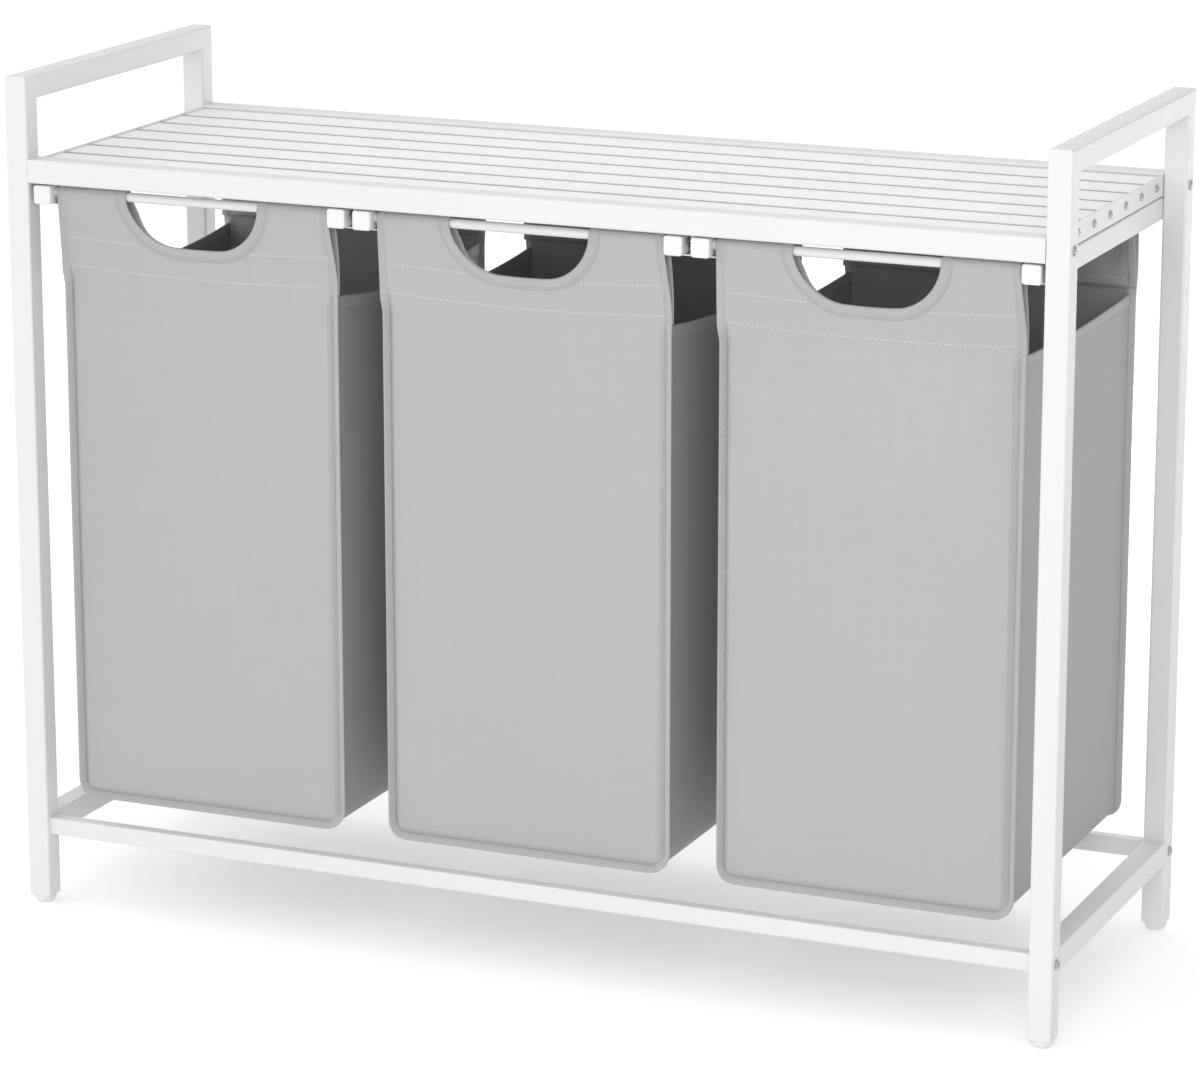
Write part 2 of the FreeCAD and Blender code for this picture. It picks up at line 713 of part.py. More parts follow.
def make_bag_modules(glide, rod_screw):
    shape = bag_shape()
    for index, name in enumerate(BAG_NAMES):
        middle = f"{index - 1} * Sizes.bag_spacing"
        make_bag(f"bag_{name}", middle, shape)
        make_base_board(f"base_board_{name}", middle)
        make_slide_tube(f"slide_tube_{name}_bag_left", f"{middle} - {SLIDER_X}")
        make_slide_tube(f"slide_tube_{name}_bag_right", f"{middle} + {SLIDER_X}")
        glides = []
        screws = []
        for side_sign, screw_turn in (("-", ALONG_MINUS_X), ("+", ALONG_X)):
            for end_sign, glide_turn in (("-", TO_BACK), ("", TO_FRONT)):
                glides.append((f"{middle} {side_sign} {SLIDER_X}",
                               f"{end_sign}Sizes.slider_reach", "Sizes.slider_middle",
                               glide_turn))
                screws.append((f"{middle} {side_sign} Sizes.slider_width / 2",
                               f"{end_sign}Sizes.rod_reach", "Sizes.rod_middle", screw_turn))
        group(f"glides_{name}_bag", glide, glides)
        for end, sign_y in ENDS:
            make_rod(f"rod_{name}_bag_{end}", middle, sign_y)
        group(f"rod_screws_{name}_bag", rod_screw, screws)


# ---------------------------------------------------------------- screws and nuts

def make_screw_master(kind):
    """A pan-head screw along Z: its head stands up from Z = 0, its shank goes down."""
    body = new_body(f"{kind}_screw_master", is_node=False)
    length = f"Sizes.{kind}_screw_length"
    radius = f"Sizes.{kind}_screw_radius"
    head_radius = f"Sizes.{kind}_head_radius"
    head_tall = f"Sizes.{kind}_head_tall"
    rounding = [(f"{wide} * {head_radius}", f"{tall} * {head_tall}") for wide, tall in HEAD_OUTLINE]
    profile = new_sketch(body, "profile", "XZ_Plane")
    draw_polygon(profile, [
        ("0", f"-{length}"),
        (radius, f"-{length}"),
        (radius, "0"),
        (head_radius, "0"),
        *rounding,
        ("0", head_tall),
    ])
    revolve(body, profile)
    cross = new_sketch(body, "cross", "XY_Plane", head_tall)
    half = "Sizes.cross_width / 2"
    arm = f"{CROSS_REACH} * {head_radius}"
    draw_polygon(cross, [
        (half, half), (half, arm), (f"-{half}", arm), (f"-{half}", half),
        (f"-{arm}", half), (f"-{arm}", f"-{half}"), (f"-{half}", f"-{half}"),
        (f"-{half}", f"-{arm}"), (half, f"-{arm}"), (half, f"-{half}"),
        (arm, f"-{half}"), (arm, half),
    ])
    pocket(body, cross, "Sizes.cross_depth")
    return body


def make_nut_master(label, width, height, corner):
    """A tapped block that is pressed into the end of a rail, drawn along its own Z."""
    inset = "2 * Sizes.tube_wall - 2 * Sizes.plug_clearance"
    body = bar_body(label, f"{width} - {inset}", f"{height} - {inset}", corner,
                    "Sizes.nut_length", is_node=False)
    tap = new_sketch(body, "tap")
    draw_circle(tap, "0", "0", "Sizes.frame_screw_radius + Sizes.thread_play")
    pocket(body, tap)
    return body


def make_fasteners():
    frame_screw = make_screw_master("frame")
    slat_screw = make_screw_master("slat")
    high_nut = make_nut_master("high_nut_master", "Sizes.tube_size", "Sizes.tube_size",
                               "Sizes.tube_corner")
    low_nut = make_nut_master("low_nut_master", "Sizes.low_rail_height",
                              "Sizes.low_rail_depth", "Sizes.low_rail_corner")
    frame_screws = []
    high_nuts = []
    low_nuts = []
    slat_screws = []
    for side, turn in (("-", ALONG_MINUS_X), ("", ALONG_X)):
        nut_x = f"-{POST_INNER_X}" if side else f"{POST_INNER_X} - Sizes.nut_length"
        for _, sign_y in ENDS:
            y = f"{sign_y}{POST_Y}"
            for z in ("Sizes.rail_middle_low", HIGH_SCREW_Z):
                frame_screws.append((f"{side}Sizes.frame_width / 2", y, z, turn))
            high_nuts.append((nut_x, y, HIGH_SCREW_Z, ALONG_X))
            low_nuts.append((nut_x, y, "Sizes.rail_middle_low", ALONG_X))
        for index in range(SLAT_COUNT):
            slat_screws.append((f"{side}{POST_INNER_X}", slat_y(index), SLAT_MIDDLE_Z, turn))
    group("frame_screws", frame_screw, frame_screws)
    group("slat_screws", slat_screw, slat_screws)
    group("shelf_rail_nuts", high_nut, high_nuts)
    group("low_rail_nuts", low_nut, low_nuts)


# ---------------------------------------------------------------- build, check and write

def check_document():
    for item in doc.Objects:
        if "Invalid" in item.State or "Error" in item.State:
            raise RuntimeError(f"{item.Label} did not build: {item.State}")
    for node in nodes:
        if node.Shape.isNull() or not node.Shape.isValid():
            raise RuntimeError(f"{node.Label} has a bad shape")
        if not node.Shape.Solids:
            raise RuntimeError(f"{node.Label} has no solid")


def write_parts():
    os.makedirs("parts", exist_ok=True)
    for node in nodes:
        node.Shape.exportStep(f"parts/{node.Label}.step")


fill_sheet()
make_side_frames()
make_long_rails()
make_shelf()
make_runners()
make_bag_modules(make_glide_master(), make_screw_master("rod"))
make_fasteners()
doc.recompute()
check_document()
write_parts()
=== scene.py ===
import math

import bpy
import numpy as np
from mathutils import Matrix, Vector


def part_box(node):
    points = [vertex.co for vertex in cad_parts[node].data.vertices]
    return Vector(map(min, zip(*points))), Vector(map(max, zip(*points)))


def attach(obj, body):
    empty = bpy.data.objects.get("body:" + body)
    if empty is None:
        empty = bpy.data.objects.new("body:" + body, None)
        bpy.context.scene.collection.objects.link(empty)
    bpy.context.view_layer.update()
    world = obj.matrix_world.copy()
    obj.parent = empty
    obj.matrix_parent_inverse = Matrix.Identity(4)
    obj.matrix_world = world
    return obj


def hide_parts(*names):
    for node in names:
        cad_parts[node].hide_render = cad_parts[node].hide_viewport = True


# The looks of a three-bag laundry sorter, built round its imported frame. Metres, in the frame's axes:
# X along the shelf, +Y to the back, +Z up. Each bag is sewn from a front and a rear cloth that turn
# over the rods of its sliding frame, and a gusset that makes the sides and the bottom.

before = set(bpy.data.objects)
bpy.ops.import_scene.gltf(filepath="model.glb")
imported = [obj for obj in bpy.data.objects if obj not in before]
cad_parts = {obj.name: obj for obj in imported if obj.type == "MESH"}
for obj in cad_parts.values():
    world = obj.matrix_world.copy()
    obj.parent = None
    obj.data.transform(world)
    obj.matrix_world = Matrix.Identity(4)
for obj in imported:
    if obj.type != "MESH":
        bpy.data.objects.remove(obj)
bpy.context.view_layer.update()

MM = 0.001
BAGS = ("left", "middle", "right")

# Cloth and sewing
CLOTH = 0.9 * MM
TAPE = 0.9 * MM
TAPE_WIDTH = 7.5 * MM
GRID = 4 * MM
TURN_GRID = 0.9 * MM
TURN_MARGIN = 2 * MM
TAPE_GRID = 4 * MM
GUSSET_GRID = 5 * MM
GUSSET_RISE = 0.0125
BOTTOM_GRID = 6 * MM
THREAD = 0.32 * MM
STITCH = 2.9 * MM
STITCH_PITCH = 4.1 * MM

# A bag's shape, inside the box of its CAD solid
PANEL_INSET = 12.4 * MM
PANEL_EDGE = 121 * MM
PANEL_BOTTOM = 3.2 * MM
SLEEVE_TOP_EDGE = 125 * MM
SLEEVE_FOOT_EDGE = 128 * MM
SLEEVE_TURN = 1.3 * MM
GROOVE_WIDTH = 5 * MM
GROOVE_DEPTH = 2.2 * MM
GROOVE_GRID = 0.8 * MM
LEAN_BELOW_ROD = 74 * MM
HEM_BELOW_ROD = 69 * MM
LAYER_GAP = 2.2 * MM
SEAM_BELOW_ROD = (36.5 * MM, 61.5 * MM)
SEAM_SAG = 4.5 * MM
CORNER = 12 * MM
GUSSET_EDGE = 122.4 * MM
GUSSET_TOP = 79 * MM
HOLE_HALF_WIDTH = 61 * MM
HOLE_CORNER = 40 * MM
HOLE_BELOW_ROD = 36 * MM
HOLE_BAND = 10 * MM
HOLE_CUT = 0.45 * HOLE_BAND
SIDE_SAG = {"left": 11 * MM, "middle": 9 * MM, "right": 4 * MM}

# The bent line of a panel: the angles between which it lies on its rod, how far its curves pull, the
# points of each of its stretches, and the step that its slope is measured over
OVER_FROM = math.radians(-8)
OVER_TO = math.radians(160)
LEAN_PULL = 26 * MM
FALL_PULL = 28 * MM
HEM_PULL = 22 * MM
LINE_POINTS = 60
BEND_STEP = 0.4 * MM

# The returning layer of a sleeve is drawn out to the outer one from this far below the rod, and less
# and less between these distances from the sleeve's ends
CLOSING_STARTS = 12 * MM
CLOSING_FADES = (22 * MM, 3 * MM)

# Slackness of the cloth, and the seeds of its creases
PANEL_BELLY = 1.6 * MM
PANEL_CREASE = 1.1 * MM
GUSSET_BELLY = 2.2 * MM
GUSSET_CREASE = 1.6 * MM
GUSSET_BOTTOM = 0.6 * MM
SEEDS = {"left": 11, "middle": 23, "right": 37}

# How far the taped seam of a panel stands out of its face, in degrees: on its left, on its right, below
FLANGE_TURN = {"front": (58, 17, 47), "rear": (24, 24, 47)}

# Points round the section of an edge tape, how far in from the panel's edge it starts, on the sleeve
# (as a share of its width) and below it, and the flat distance between two points of its section
TAPE_POINTS = 14
TAPE_IN_SLEEVE = 0.93
TAPE_IN_SEAM = 0.4 * MM
TAPE_ROUND = 1.5 * MM

# Section of the hand hole's tape: tenths of its width away from the edge, and mm out of the cloth
HOLE_TAPE = ((10.0, 0.45), (9.7, 0.85), (6, 1.0), (2, 1.05), (0.6, 0.8), (0, 0), (0.6, -0.8),
             (2, -0.95), (6, -0.9), (9.7, -0.8), (10.0, -0.45))

# Section of the tape on a gusset's top edge, in mm above the edge and out of the cloth
TOP_TAPE = ((-9.5, 0.4), (-9.0, 1.05), (-5, 1.2), (-1, 1.15), (0.2, 0.8), (0.7, 0), (0.2, -0.8),
            (-1, -1.15), (-5, -1.2), (-9.0, -1.05), (-9.5, -0.4))

# How far the stitches on these tapes are from the edge, and how far out of the cloth
HOLE_TAPE_SEAM = 0.78 * HOLE_BAND
HOLE_TAPE_OUT = 1.05 * MM
TOP_TAPE_SEAM = 7.4 * MM
TOP_TAPE_OUT = 1.3 * MM

# A stitch: share of its length, and its half width and height above the cloth in thread widths
STITCH_RINGS = ((0.0, 0.25, -0.6), (0.14, 0.85, 0.0), (0.5, 1.0, 0.35), (0.86, 0.85, 0.0),
                (1.0, 0.25, -0.6))
STITCH_SIDES = 6

# Camera, floor and light. The camera's angles are in radians, below the horizon and to the left.
CAMERA_PLACE = (1.5087, -3.4933, 1.3125)
CAMERA_DOWN = 0.2523
CAMERA_TURN = 0.4067
CAMERA_LENS = 140
FLOOR_COLOUR = (0.75, 0.75, 0.75)
FLOOR_GLOW = 0.3
FLOOR_RADII = (1.5, 4, 10, 30)
FLOOR_SIDES = 48
SKY_BRIGHTEST = (-0.72, -0.52, 0.46)
SKY_STRENGTH = (0.50, 1.36)
FRONT_LIGHT = {"place": (1.15, -2.7, 1.35), "target": (0, 0, 0.4), "size": (1.2, 1.2), "power": 20}
REAR_LIGHT = {"place": (0, 2.2, 0.34), "target": (0, 0, 0.34), "size": (2.6, 0.56), "power": 11}


# ---------------------------------------------------------------------------- materials

def new_material(name, colour, roughness):
    """A material with its shader's constants set, and its node tree, ready for detail."""
    material = bpy.data.materials.new(name)
    material.use_nodes = True
    tree = material.node_tree
    shader = tree.nodes["Principled BSDF"]
    shader.inputs["Base Color"].default_value = (*colour, 1)
    shader.inputs["Roughness"].default_value = roughness
    return material, tree, shader


def add_node(tree, kind, **values):
    """A node with the named inputs set."""
    node = tree.nodes.new(kind)
    for name, value in values.items():
        node.inputs[name.replace("_", " ")].default_value = value
    return node


def object_place(tree):
    return tree.nodes.new("ShaderNodeTexCoord").outputs["Object"]


def noise(tree, place, scale, detail=3.0, stretch=(1, 1, 1)):
    """Noise at a scale in waves per metre, stretched along the axes."""
    mapping = tree.nodes.new("ShaderNodeMapping")
    mapping.inputs["Scale"].default_value = stretch
    tree.links.new(place, mapping.inputs["Vector"])
    node = add_node(tree, "ShaderNodeTexNoise", Scale=scale, Detail=detail)
    tree.links.new(mapping.outputs["Vector"], node.inputs["Vector"])
    return node.outputs["Fac"]


def ramp(tree, factor, low, high, start=0.0, end=1.0):
    """Maps a factor from start..end to low..high."""
    node = add_node(tree, "ShaderNodeMapRange", From_Min=start, From_Max=end, To_Min=low, To_Max=high)
    tree.links.new(factor, node.inputs["Value"])
    return node.outputs["Result"]


def arithmetic(tree, operation, first, second):
    node = tree.nodes.new("ShaderNodeMath")
    node.operation = operation
    for socket, value in zip(node.inputs, (first, second)):
        if isinstance(value, (int, float)):
            socket.default_value = value
        else:
            tree.links.new(value, socket)
    return node.outputs["Value"]


def tint(tree, shader, colour, factor, spread):
    """Base colour that gets darker and lighter by spread as the factor goes round 0.5."""
    level = ramp(tree, factor, 1 - spread, 1 + spread)
    scale = tree.nodes.new("ShaderNodeVectorMath")
    scale.operation = "SCALE"
    scale.inputs[0].default_value = colour
    tree.links.new(level, scale.inputs["Scale"])
    tree.links.new(scale.outputs["Vector"], shader.inputs["Base Color"])


def bump(tree, shader, height, strength, distance):
    node = add_node(tree, "ShaderNodeBump", Strength=strength, Distance=distance)
    tree.links.new(height, node.inputs["Height"])
    tree.links.new(node.outputs["Normal"], shader.inputs["Normal"])


def powder_coat():
    """White powder coat: a fine orange peel and a soft gloss."""
    colour = (0.66, 0.66, 0.652)
    material, tree, shader = new_material("white_powder_coat", colour, 0.46)
    place = object_place(tree)
    tint(tree, shader, colour, noise(tree, place, 22), 0.012)
    gloss = noise(tree, place, 60)
    tree.links.new(ramp(tree, gloss, 0.42, 0.54), shader.inputs["Roughness"])
    bump(tree, shader, noise(tree, place, 900, 2), 0.10, 0.0004)
    return material


def slat_side_shade_mask(tree):
    """1 on faces that look along Y, to the front or the back, and 0 on those that look up or down: the
    mask of the painted shade on the slats' sides.
    """
    parts = tree.nodes.new("ShaderNodeSeparateXYZ")
    tree.links.new(tree.nodes.new("ShaderNodeTexCoord").outputs["Normal"], parts.inputs["Vector"])
    return arithmetic(tree, "ABSOLUTE", parts.outputs["Y"], 0.0)


def painted_slat():
    """White lacquer over a board, with the faintest grain along its length, and painted shade on its
    sides that face the front and back, where the gaps between the slats are in shade.
    """
    colour = (0.79, 0.79, 0.785)
    material, tree, shader = new_material("white_slat_lacquer", colour, 0.5)
    place = object_place(tree)
    grain = noise(tree, place, 60, 3, (0.05, 1, 1))
    cloud = ramp(tree, noise(tree, place, 9, 2, (0.3, 1, 1)), 0.48, 0.52)
    # Painted shade: the base colour is up to 40% darker on faces that look to the front or the back, the
    # slat sides that face each other across the gaps.
    cloud_and_side_shade = arithmetic(tree, "SUBTRACT", cloud, arithmetic(tree, "MULTIPLY", slat_side_shade_mask(tree), 0.5))
    tint(tree, shader, colour, cloud_and_side_shade, 0.4)
    tree.links.new(ramp(tree, grain, 0.46, 0.58), shader.inputs["Roughness"])
    bump(tree, shader, noise(tree, place, 700, 2, (0.3, 1, 1)), 0.05, 0.0002)
    return material


def moulded_plastic(name, colour, roughness):
    """Moulded plastic with a fine spark-eroded texture."""
    material, tree, shader = new_material(name, colour, roughness)
    place = object_place(tree)
    tint(tree, shader, colour, noise(tree, place, 30), 0.015)
    grit = noise(tree, place, 1600, 2)
    tree.links.new(ramp(tree, grit, roughness - 0.05, roughness + 0.06), shader.inputs["Roughness"])
    bump(tree, shader, grit, 0.12, 0.0002)
    return material


def plated_steel(name, colour, roughness):
    """Plated steel with fine rubbing marks."""
    material, tree, shader = new_material(name, colour, roughness)
    shader.inputs["Metallic"].default_value = 1.0
    place = object_place(tree)
    tint(tree, shader, colour, noise(tree, place, 300), 0.08)
    marks = noise(tree, place, 700, 3, (1, 1, 0.1))
    tree.links.new(ramp(tree, marks, roughness - 0.08, roughness + 0.12), shader.inputs["Roughness"])
    bump(tree, shader, marks, 0.15, 0.0001)
    return material


def fibre_board():
    """A grey stiffening board of pressed fibre."""
    colour = (0.33, 0.32, 0.30)
    material, tree, shader = new_material("grey_fibre_board", colour, 0.8)
    place = object_place(tree)
    fibre = noise(tree, place, 420, 5, (1, 0.35, 1))
    tint(tree, shader, colour, fibre, 0.18)
    bump(tree, shader, fibre, 0.35, 0.0004)
    return material


def weave_cell(tree, coordinate, pitch):
    """A thread's round crown: 1 on its middle, 0 at its edge, once per pitch."""
    phase = arithmetic(tree, "MULTIPLY", coordinate, math.pi / pitch)
    wave = arithmetic(tree, "SINE", phase, 0.0)
    return arithmetic(tree, "ABSOLUTE", wave, 0.0)


def woven_cloth(name, colour, pitch, depth):
    """Plain-woven polyester, drawn in the cloth's own flat coordinates so that it follows every turn."""
    material, tree, shader = new_material(name, colour, 0.78)
    shader.inputs["Sheen Weight"].default_value = 0.12
    shader.inputs["Sheen Roughness"].default_value = 0.45
    shader.inputs["Specular IOR Level"].default_value = 0.28
    flat = tree.nodes.new("ShaderNodeAttribute")
    flat.attribute_name = "flat"
    parts = tree.nodes.new("ShaderNodeSeparateXYZ")
    tree.links.new(flat.outputs["Vector"], parts.inputs["Vector"])
    warp = weave_cell(tree, parts.outputs["X"], pitch)
    weft = weave_cell(tree, parts.outputs["Y"], pitch)
    over = arithmetic(tree, "MULTIPLY", warp, weft)
    slub = noise(tree, flat.outputs["Vector"], 180, 4, (1, 0.08, 1))
    cross_slub = noise(tree, flat.outputs["Vector"], 180, 4, (0.08, 1, 1))
    threads = arithmetic(tree, "ADD", arithmetic(tree, "MULTIPLY", slub, 0.5),
                         arithmetic(tree, "MULTIPLY", cross_slub, 0.5))
    mottle = noise(tree, flat.outputs["Vector"], 7, 3)
    shade = arithmetic(tree, "ADD", arithmetic(tree, "MULTIPLY", threads, 0.55),
                       arithmetic(tree, "MULTIPLY", mottle, 0.3))
    shade = arithmetic(tree, "ADD", shade, arithmetic(tree, "MULTIPLY", over, 0.15))
    tint(tree, shader, colour, shade, 0.08)
    height = arithmetic(tree, "ADD", over, arithmetic(tree, "MULTIPLY", threads, 0.9))
    bump(tree, shader, height, 0.30, depth)
    return material


def sewing_thread(name, colour):
    """Spun thread with its twist."""
    material, tree, shader = new_material(name, colour, 0.6)
    twist = noise(tree, object_place(tree), 2400, 2)
    tint(tree, shader, colour, twist, 0.12)
    bump(tree, shader, twist, 0.3, 0.0001)
    return material


POWDER_COAT = powder_coat()
SLAT_LACQUER = painted_slat()
GLIDE_PLASTIC = moulded_plastic("white_plastic_caps", (0.70, 0.70, 0.69), 0.38)
FOOT_PLASTIC = moulded_plastic("white_foot_plastic", (0.68, 0.68, 0.67), 0.45)
SCREW_STEEL = plated_steel("nickel_screws", (0.46, 0.455, 0.44), 0.24)
NUT_STEEL = plated_steel("zinc_nuts", (0.58, 0.59, 0.60), 0.42)
BOARD = fibre_board()
FABRIC = woven_cloth("grey_bag_cloth", (0.39, 0.39, 0.383), 0.75 * MM, 0.25 * MM)
# Painted shade: the gusset is the panels' cloth made darker, so the bag's sides, which it makes, look
# shaded.
GUSSET_FABRIC = woven_cloth("grey_gusset_cloth", (0.345, 0.345, 0.338), 0.75 * MM, 0.25 * MM)
TAPE_CLOTH = woven_cloth("grey_edge_tape", (0.375, 0.375, 0.368), 0.9 * MM, 0.3 * MM)
PALE_THREAD = sewing_thread("pale_thread", (0.66, 0.66, 0.65))
GREY_THREAD = sewing_thread("grey_thread", (0.43, 0.43, 0.42))

NODE_MATERIALS = {
    "post": POWDER_COAT,
    "handle_bar": POWDER_COAT,
    "low_": POWDER_COAT,
    "shelf_": POWDER_COAT,
    "runner": POWDER_COAT,
    "slide_tube": POWDER_COAT,
    "rod_": POWDER_COAT,
    "slat_": SLAT_LACQUER,
    "glides": GLIDE_PLASTIC,
    "foot": FOOT_PLASTIC,
    "base_board": BOARD,
    "frame_screws": SCREW_STEEL,
    "slat_screws": SCREW_STEEL,
    "rod_screws": SCREW_STEEL,
    "shelf_rail_nuts": NUT_STEEL,
    "low_rail_nuts": NUT_STEEL,
}


def finish_nodes():
    """Gives every CAD node the material of its longest matching name."""
    for name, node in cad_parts.items():
        keys = [key for key in NODE_MATERIALS if name.startswith(key)]
        if keys:
            material = NODE_MATERIALS[max(keys, key=len)]
            for slot in node.material_slots:
                slot.material = material


# ---------------------------------------------------------------------------- mesh helpers

def new_piece(name, points, faces, material, slider, flat=None, thickness=None):
    """A smooth mesh piece that rides on a slider. flat holds each point's place in the flat cloth."""
    mesh = bpy.data.meshes.new(name)
    mesh.from_pydata([tuple(p) for p in points], [], faces)
    mesh.validate()
    mesh.shade_smooth()
    if flat is not None:
        attribute = mesh.attributes.new("flat", "FLOAT_VECTOR", "POINT")
        attribute.data.foreach_set("vector", np.array(flat, np.float32).ravel())
    mesh.materials.append(material)
    piece = bpy.data.objects.new(name, mesh)
    bpy.context.scene.collection.objects.link(piece)
    if thickness:
        solid = piece.modifiers.new("thickness", "SOLIDIFY")
        solid.thickness = thickness
        solid.offset = 0
    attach(piece, slider)
    return piece


def grid_faces(rows, columns, wrap=False, skip=None):
    """Quads over a rows x columns grid of points. wrap joins the last column to the first."""
    faces = []
    for row in range(rows - 1):
        for column in range(columns if wrap else columns - 1):
            after = (column + 1) % columns
            if skip is None or not skip[row][column]:
                faces.append((row * columns + column, row * columns + after,
                              (row + 1) * columns + after, (row + 1) * columns + column))
    return faces


def smooth_step(value, low, high):
    share = min(1.0, max(0.0, (value - low) / (high - low)))
    return share * share * (3 - 2 * share)


def spread(start, end, step):
    """Evenly spaced values from start to end, no further apart than step."""
    count = max(2, math.ceil(abs(end - start) / step) + 1)
    return list(np.linspace(start, end, count))


class Ripples:
    """A few slow waves over the cloth, the same each run: its gentle creases."""

    def __init__(self, seed, height):
        draw = np.random.default_rng(seed)
        self.waves = []
        for _ in range(6):
            angle = draw.uniform(-0.5, 0.5)
            length = draw.uniform(0.06, 0.22)
            self.waves.append((math.cos(angle) / length, math.sin(angle) / length,
                               draw.uniform(0, 2 * math.pi), draw.uniform(0.3, 1)))
        self.height = height / sum(wave[3] for wave in self.waves)

    def at(self, across, up):
        total = 0
        for across_rate, up_rate, phase, size in self.waves:
            turn = 2 * math.pi * (across * across_rate + up * up_rate) + phase
            total += size * math.sin(turn)
        return total * self.height


# ---------------------------------------------------------------------------- the sleeved panels

def bezier(start, pull_start, pull_end, end, count):
    """Points of a cubic curve, without the last one."""
    share = np.linspace(0, 1, count, endpoint=False)[:, None]
    rest = 1 - share
    return (rest ** 3 * start + 3 * rest ** 2 * share * pull_start
            + 3 * rest * share ** 2 * pull_end + share ** 3 * end)


class Panel:
    """A cloth that climbs one face of a bag, turns over the rod and comes back down to its hem.

    A point of the flat cloth is (across, up): across from the bag's middle, and up along the cloth
    from its bottom edge. It is bent in the plane of reach, outwards from the bag, and height.
    """

    def __init__(self, bag, side):
        low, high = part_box(f"bag_{bag}")
        which = "front" if side < 0 else "rear"
        rod_low, rod_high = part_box(f"rod_{bag}_bag_{which}")
        self.bag = bag
        self.side = side
        self.name = f"bag_{bag}_{which}"
        self.middle = (low.x + high.x) / 2
        self.slider = f"{bag}_bag_slider"
        self.rod_reach = abs(rod_low.y + rod_high.y) / 2
        self.rod_height = (rod_low.z + rod_high.z) / 2
        self.turn = (rod_high.z - rod_low.z) / 2 + SLEEVE_TURN
        self.face_reach = high.y - PANEL_INSET
        self.bottom = low.z + PANEL_BOTTOM
        self.flange = FLANGE_TURN[which]
        self.ripples = Ripples(SEEDS[bag] + 5 * side, PANEL_CREASE)
        self.measure()

    def measure(self):
        """Lays out the bent line that the cloth follows, as reach and height, and its lengths."""
        rod = np.array([self.rod_reach, self.rod_height])
        foot = np.array([self.face_reach, self.bottom])
        lean = np.array([self.face_reach, self.rod_height - LEAN_BELOW_ROD])
        hem = np.array([self.face_reach - LAYER_GAP, self.rod_height - HEM_BELOW_ROD])
        first = rod + self.turn * np.array([math.cos(OVER_FROM), math.sin(OVER_FROM)])
        last = rod + self.turn * np.array([math.cos(OVER_TO), math.sin(OVER_TO)])
        up = np.array([0, 1])
        rise = np.array([-math.sin(OVER_FROM), math.cos(OVER_FROM)])
        fall = np.array([-math.sin(OVER_TO), math.cos(OVER_TO)])
        climb = np.linspace(foot, lean, LINE_POINTS, endpoint=False)
        lean_out = bezier(lean, lean + LEAN_PULL * up, first - LEAN_PULL * rise, first, LINE_POINTS)
        angles = np.linspace(OVER_FROM, OVER_TO, LINE_POINTS, endpoint=False)
        over = rod + self.turn * np.stack([np.cos(angles), np.sin(angles)], 1)
        back_down = bezier(last, last + FALL_PULL * fall, hem + HEM_PULL * up, hem, LINE_POINTS)
        self.line = np.vstack([climb, lean_out, over, back_down, hem[None]])
        steps = np.linalg.norm(np.diff(self.line, axis=0), axis=1)
        self.lengths = np.concatenate([[0], np.cumsum(steps)])
        self.over_start = self.lengths[2 * LINE_POINTS]
        self.over_end = self.lengths[3 * LINE_POINTS]
        self.total = self.lengths[-1]

    def on_line(self, up):
        """Reach and height at a length along the cloth."""
        return [np.interp(up, self.lengths, self.line[:, axis]) for axis in (0, 1)]

    def bend(self, up):
        """Reach, height and the outward normal at a length along the cloth."""
        reach, height = self.on_line(up)
        before_reach, before_height = self.on_line(max(0.0, up - BEND_STEP))
        after_reach, after_height = self.on_line(min(self.total, up + BEND_STEP))
        run = after_reach - before_reach
        rise = after_height - before_height
        size = math.hypot(run, rise)
        return reach, height, rise / size, -run / size

    def up_at(self, below_rod):
        """The length along the outer layer where it is that far below the rod's middle."""
        outer = self.lengths <= self.over_start
        return float(np.interp(self.rod_height - below_rod, self.line[outer, 1], self.lengths[outer]))

    def down_at(self, below_rod):
        """The same, on the layer that comes back down."""
        inner = self.lengths >= self.over_end
        heights = self.line[inner, 1][::-1]
        return float(np.interp(self.rod_height - below_rod, heights, self.lengths[inner][::-1]))

    def swell(self, across, up):
        """How far the hanging cloth stands out of its flat face: a belly, creases and a sewn edge."""
        body = self.up_at(LEAN_BELOW_ROD - 20 * MM)
        if up >= body:
            return 0.0
        side_share = max(0.0, 1 - (across / PANEL_EDGE) ** 2)
        height_share = math.sin(math.pi * min(1.0, up / body)) ** 0.8
        belly = PANEL_BELLY * side_share * height_share * (1.3 - up / body)
        creases = self.ripples.at(across, up) * min(1.0, 2.2 * side_share) * height_share
        return belly + creases - self.groove(across, up)

    def groove(self, across, up):
        """How far the seam with the gusset draws the face in, close beside the edge."""
        beside = smooth_step(abs(across), PANEL_EDGE - GROOVE_WIDTH, PANEL_EDGE)
        above = 1 - smooth_step(up, 0, GROOVE_WIDTH)
        return GROOVE_DEPTH * max(beside, above) * (1 - self.free(up))

    def place(self, across, up, out=0.0):
        """The point of the bent cloth, out of its surface by the given distance."""
        reach, height, normal_reach, normal_height = self.bend(up)
        stand = out + self.swell(across, up)
        if up > self.over_end:
            reach += self.closing(across, reach, height)
        return Vector((self.middle + across, self.side * (reach + stand * normal_reach),
                       height + stand * normal_height))

    def closing(self, across, reach, height):
        """How far the returning layer is drawn out to the outer one, where the first seam holds it."""
        below = self.rod_height - height
        outer = self.lengths <= self.over_start
        outer_reach = float(np.interp(height, self.line[outer, 1], self.line[outer, 0]))
        held = smooth_step(below, CLOSING_STARTS, SEAM_BELOW_ROD[0])
        fade_start, fade_end = (SLEEVE_TOP_EDGE - inset for inset in CLOSING_FADES)
        inside = 1 - smooth_step(abs(across), fade_start, fade_end)
        return max(0.0, outer_reach - LAYER_GAP - reach) * held * inside

